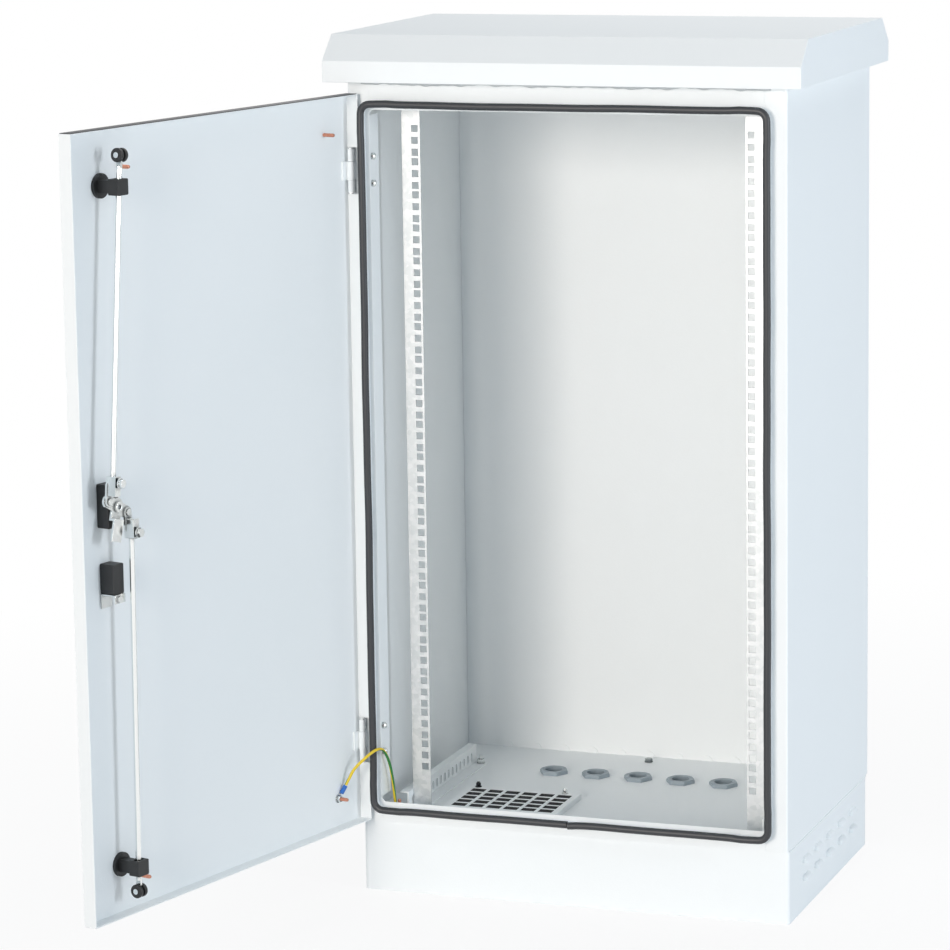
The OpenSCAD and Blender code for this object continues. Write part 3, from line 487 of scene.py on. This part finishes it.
def threadedStud(name, s):
    # a V ridge screwed up the stud round a core with a bevelled tip
    root = (s["radius"] - s["depth"]) / 1000
    deselectAll()
    bpy.ops.mesh.primitive_cylinder_add(vertices=s["sides"], radius=root + s["overlap"] / 1000,
                                        depth=s["length"] / 1000, location=(0, 0, s["length"] / 2000))
    core = bpy.context.object
    core.name = name
    bpy.ops.object.transform_apply(location=True, rotation=True, scale=True)
    bpy.ops.object.mode_set(mode="EDIT")
    bpy.ops.mesh.select_all(action="DESELECT")
    bpy.ops.object.mode_set(mode="OBJECT")
    for vertex in core.data.vertices:
        vertex.select = vertex.co.z > s["length"] / 2000
    bpy.ops.object.mode_set(mode="EDIT")
    bpy.ops.mesh.select_mode(type="VERT")
    bpy.ops.mesh.bevel(offset=s["tip"] / 1000, segments=2)
    bpy.ops.object.mode_set(mode="OBJECT")
    ridge = bpy.data.meshes.new(name + "Ridge")
    p = s["pitch"] / 1000
    turns = int((s["length"] - s["plainEnd"]) / s["pitch"])
    # the screw runs down from its start, so the profile is set at the tip end
    start = turns * p
    profile = [(root, 0, start), (s["radius"] / 1000, 0, start + p / 2), (root, 0, start + p)]
    ridge.from_pydata(profile, [(0, 1), (1, 2)], [])
    thread = bpy.data.objects.new(name + "Ridge", ridge)
    bpy.context.scene.collection.objects.link(thread)
    makeActive(thread)
    bpy.ops.object.mode_set(mode="EDIT")
    bpy.ops.mesh.select_all(action="SELECT")
    bpy.ops.mesh.screw(steps=s["steps"], turns=turns, center=(0, 0, 0), axis=(0, 0, -1))
    bpy.ops.mesh.select_all(action="SELECT")
    bpy.ops.mesh.remove_doubles(threshold=edgeWork["merge"])
    bpy.ops.mesh.normals_make_consistent(inside=False)
    bpy.ops.object.mode_set(mode="OBJECT")
    core.select_set(True)
    bpy.context.view_layer.objects.active = core
    bpy.ops.object.join()
    bpy.ops.object.shade_smooth_by_angle(angle=radians(40))
    return core


def placedCopies(name, source, places):
    copies = []
    for place in places:
        copy = source.copy()
        copy.data = source.data.copy()
        copy.data.transform(place)
        bpy.context.scene.collection.objects.link(copy)
        copies.append(copy)
    makeActive(copies[0])
    for copy in copies:
        copy.select_set(True)
    bpy.ops.object.join()
    copies[0].name = name
    return copies[0]


studShape = threadedStud("weldStudShape", weldStud)
hingeX, hingeY = weldStud["hinge"]
doorTurn = Matrix.Rotation(radians(-weldStud["doorOpen"]), 4, "Z")
doorPlace = Matrix.Translation((hingeX / 1000, hingeY / 1000, 0)) @ doorTurn
studTurn = Matrix.Rotation(radians(-90), 4, "X")
doorSpots = [doorPlace @ Matrix.Translation((x / 1000, weldStud["skinIn"] / 1000, z / 1000)) @ studTurn
             for x in weldStud["alongDoor"] for z in weldStud["heights"]]
doorStuds = placedCopies("doorStudsPiece", studShape, doorSpots)
doorStuds.data.materials.clear()
doorStuds.data.materials.append(copper)
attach(doorStuds, "door")
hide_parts("door_studs")

# the floor stud is a little longer and carries the nut that holds the wire's lug
earthNut = {"flats": 8.0, "height": 4.5, "lift": 1.2, "bevel": 0.45, "collar": 0.6, "studLength": 18.0}


def hexNut(name, n):
    deselectAll()
    bpy.ops.mesh.primitive_cylinder_add(vertices=6, radius=n["flats"] / cos(radians(30)) / 2000,
                                        depth=n["height"] / 1000, rotation=(0, 0, radians(30)),
                                        location=(0, 0, (n["lift"] + n["height"] / 2) / 1000))
    nut = bpy.context.object
    nut.name = name
    bpy.ops.object.transform_apply(location=True, rotation=True, scale=True)
    bpy.ops.object.mode_set(mode="EDIT")
    bpy.ops.mesh.select_all(action="SELECT")
    bpy.ops.mesh.bevel(offset=n["bevel"] / 1000, segments=2)
    bpy.ops.mesh.select_all(action="DESELECT")
    bpy.ops.object.mode_set(mode="OBJECT")
    for face in nut.data.polygons:
        face.select = face.normal.z > 0.9
    bpy.ops.object.mode_set(mode="EDIT")
    bpy.ops.mesh.select_mode(type="FACE")
    bpy.ops.mesh.inset(thickness=n["collar"] / 1000, depth=-n["collar"] / 3000)
    bpy.ops.object.mode_set(mode="OBJECT")
    bpy.ops.object.shade_smooth_by_angle(angle=radians(30))
    return nut


floorSpot = Matrix.Translation(Vector(weldStud["floorPlace"]) / 1000)
longer = Matrix.Diagonal((1, 1, earthNut["studLength"] / weldStud["length"], 1))
floorStud = placedCopies("earthStudPiece", studShape, [floorSpot @ longer])
floorStud.data.materials.clear()
floorStud.data.materials.append(copper)
nutShape = hexNut("earthNutShape", earthNut)
floorNut = placedCopies("earthNutPiece", nutShape, [floorSpot])
floorNut.data.materials.append(zinc)
floorNut.select_set(True)
floorStud.select_set(True)
bpy.context.view_layer.objects.active = floorStud
bpy.ops.object.join()
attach(floorStud, "cabinet")
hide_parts("earth_stud")
for shape in (studShape, nutShape):
    bpy.data.objects.remove(shape)
print("weld studs threaded")

# ring lugs: tinned tongue with a blue sleeve over the barrel
ringLug = {"tongue": 1.25, "radius": 0.35, "tin": "#d5d9db", "tinShade": "#b9bec1"}
# the tin's second colour is the dark end of the painted shade where parts meet
tin = zincPlate("tinnedCopper", ringLug["tin"], ringLug["tinShade"])


def twoTone(piece, above, second):
    # faces past a height along a direction take the second material
    spot, way, height = above
    piece.data.materials.append(second)
    for face in piece.data.polygons:
        if (face.center - Vector(spot)).dot(Vector(way)) > height:
            face.material_index = 1


doorInside = doorPlace.to_3x3() @ Vector((0, 1, 0))
floorLug = softEdges("earth_lug_floor", ringLug["radius"])
twoTone(floorLug, (Vector(weldStud["floorPlace"]) / 1000, (0, 0, 1), ringLug["tongue"] / 1000), blueSleeve)
doorLug = softEdges("earth_lug_door", ringLug["radius"])
twoTone(doorLug, (doorSpots[0].translation, doorInside, ringLug["tongue"] / 1000), blueSleeve)
for lug in (floorLug, doorLug):
    lug.data.materials[0] = tin
print("earth lugs sleeved")

# thin dark strip in the gasket rubber, 1 mm thick, laid along the top return of the door
topStrip = {"from": -4.5, "to": 589.5, "inside": 8.6, "outside": -8.0, "base": 1089.4, "thick": 1.0, "bevel": 0.35}
deselectAll()
bpy.ops.mesh.primitive_cube_add(size=1)
strip = bpy.context.object
strip.name = "doorTopStrip"
stripSize = (topStrip["to"] - topStrip["from"], topStrip["inside"] - topStrip["outside"], topStrip["thick"])
bpy.ops.transform.resize(value=Vector(stripSize) / 1000)
bpy.ops.object.transform_apply(location=True, rotation=True, scale=True)
bpy.ops.object.mode_set(mode="EDIT")
bpy.ops.mesh.select_all(action="SELECT")
bpy.ops.mesh.bevel(offset=topStrip["bevel"] / 1000, segments=2)
bpy.ops.object.mode_set(mode="OBJECT")
bpy.ops.object.shade_smooth_by_angle(angle=radians(40))
stripMiddle = Vector((topStrip["from"] + topStrip["to"], topStrip["inside"] + topStrip["outside"],
                      2 * topStrip["base"] + topStrip["thick"])) / 2000
strip.data.transform(doorPlace @ Matrix.Translation(stripMiddle))
strip.data.materials.append(gasketRubber)
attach(strip, "door")
print("door strip laid")

# hand-laid sealant bead under the hood skirt, thick and thin along its length
sealBead = {"from": -280, "to": 280, "step": 3, "y": -216.2, "z": 1103.6, "radius": 1.8, "sides": 10,
            "lump": 0.9, "lumpWaves": ((0.35, 7.3, 1.1), (0.23, 41, 0)), "beat": (0.42, 3.1, 17, 0.4),
            "heightWaves": ((0.6, 23, 0), (0.5, 9, 2))}


def beadSwell(x, b):
    size, short, long, shift = b["beat"]
    return 1 + b["lump"] * (size * sin(x / short) * sin(x / long + shift) + waved(x, b["lumpWaves"]))


beadX = list(range(sealBead["from"], sealBead["to"] + 1, sealBead["step"]))
beadZ = [sealBead["z"] + waved(x, sealBead["heightWaves"]) for x in beadX]
beadRoute = [Vector((x, sealBead["y"], z)) / 1000 for x, z in zip(beadX, beadZ)]
beadSection = roundSection(sealBead["radius"] / 1000, sealBead["sides"])
bead = sweptTube("hoodSealantPiece", beadRoute, beadSection, swell=[beadSwell(x, sealBead) for x in beadX])
bead.data.materials.append(sealant)
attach(bead, "cabinet")
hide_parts("hood_sealant")
print("sealant bead laid")

# white floor and studio light
studio = {"floor": "#f2f3f4", "floorSize": 24, "shadeTo": 0.5, "near": 0.88, "clear": 2.0, "sky": 0.4,
          "skyColour": "#dae9f6"}
deselectAll()
bpy.ops.mesh.primitive_plane_add(size=studio["floorSize"], location=(0, 0, 0))
floor = bpy.context.object
floor.name = "studioFloor"


def seenDirectly(tree):
    rays = addNode(tree, "ShaderNodeLightPath").outputs
    first = addNode(tree, "ShaderNodeMath", {"operation": "MAXIMUM"},
                    {0: rays["Is Camera Ray"], 1: rays["Is Glossy Ray"]})
    either = addNode(tree, "ShaderNodeMath", {"operation": "MAXIMUM"},
                     {0: first.outputs[0], 1: rays["Is Transmission Ray"]})
    return either.outputs[0]


# paper floor that keeps the shadow near the cabinet and runs out to plain white
floorMaterial, floorTree, floorShader = newMaterial("paperFloor", studio["floor"], 0.9)
glow = addNode(floorTree, "ShaderNodeEmission", {"Color": (1, 1, 1, 1), "Strength": 1.0})
paperPlace = addNode(floorTree, "ShaderNodeTexCoord").outputs["Object"]
reach = addNode(floorTree, "ShaderNodeVectorMath", {"operation": "LENGTH"}, {0: paperPlace})
fade = {"From Min": studio["shadeTo"], "From Max": studio["clear"], "To Min": studio["near"], "To Max": 1.0}
whiter = addNode(floorTree, "ShaderNodeMapRange", fade, {"Value": reach.outputs["Value"]})
share = addNode(floorTree, "ShaderNodeMath", {"operation": "MULTIPLY"},
                {0: seenDirectly(floorTree), 1: whiter.outputs["Result"]})
mixed = addNode(floorTree, "ShaderNodeMixShader",
                links={0: share.outputs[0], 1: floorShader.outputs[0], 2: glow.outputs[0]})
floorTree.links.new(mixed.outputs[0], floorTree.nodes["Material Output"].inputs["Surface"])
floor.data.materials.append(floorMaterial)

world = bpy.data.worlds.new("whiteStudio")
bpy.context.scene.world = world
world.use_nodes = True
sky = world.node_tree
background = sky.nodes["Background"]
background.inputs["Color"].default_value = linearColour(studio["skyColour"])
background.inputs["Strength"].default_value = studio["sky"]
white = addNode(sky, "ShaderNodeBackground", {"Color": (1, 1, 1, 1), "Strength": 1.0})
choose = addNode(sky, "ShaderNodeMixShader",
                 links={0: seenDirectly(sky), 1: background.outputs[0], 2: white.outputs[0]})
sky.links.new(choose.outputs[0], sky.nodes["World Output"].inputs["Surface"])


def softbox(name, place, target, size, power, colour):
    bpy.ops.object.light_add(type="AREA", location=place)
    lamp = bpy.context.object
    lamp.name = name
    lamp.data.shape = "RECTANGLE"
    lamp.data.size, lamp.data.size_y = size
    lamp.data.energy = power
    lamp.data.color = linearColour(colour)[:3]
    lamp.rotation_mode = "QUATERNION"
    lamp.rotation_quaternion = (Vector(target) - Vector(place)).to_track_quat("-Z", "Y")


softboxes = {
    "keySoftbox": {"place": (3.9, -1.2, 1.3), "target": (0.1, -0.2, 0.65), "size": (0.7, 1.6), "power": 57.0,
                   "colour": "#ecf3fa"},
    "frontSoftbox": {"place": (-1.2, -9.3, 2.2), "target": (0, 0, 0.6), "size": (3.0, 3.0), "power": 462.0,
                     "colour": "#fcf3ea"},
    "topSoftbox": {"place": (0.2, 1.6, 3.5), "target": (0, 0, 0.9), "size": (2.4, 2.0), "power": 38.0,
                   "colour": "#fffaf5"}}
for name, settings in softboxes.items():
    softbox(name, **settings)
bpy.context.scene.view_settings.view_transform = "Standard"
print("studio lit")
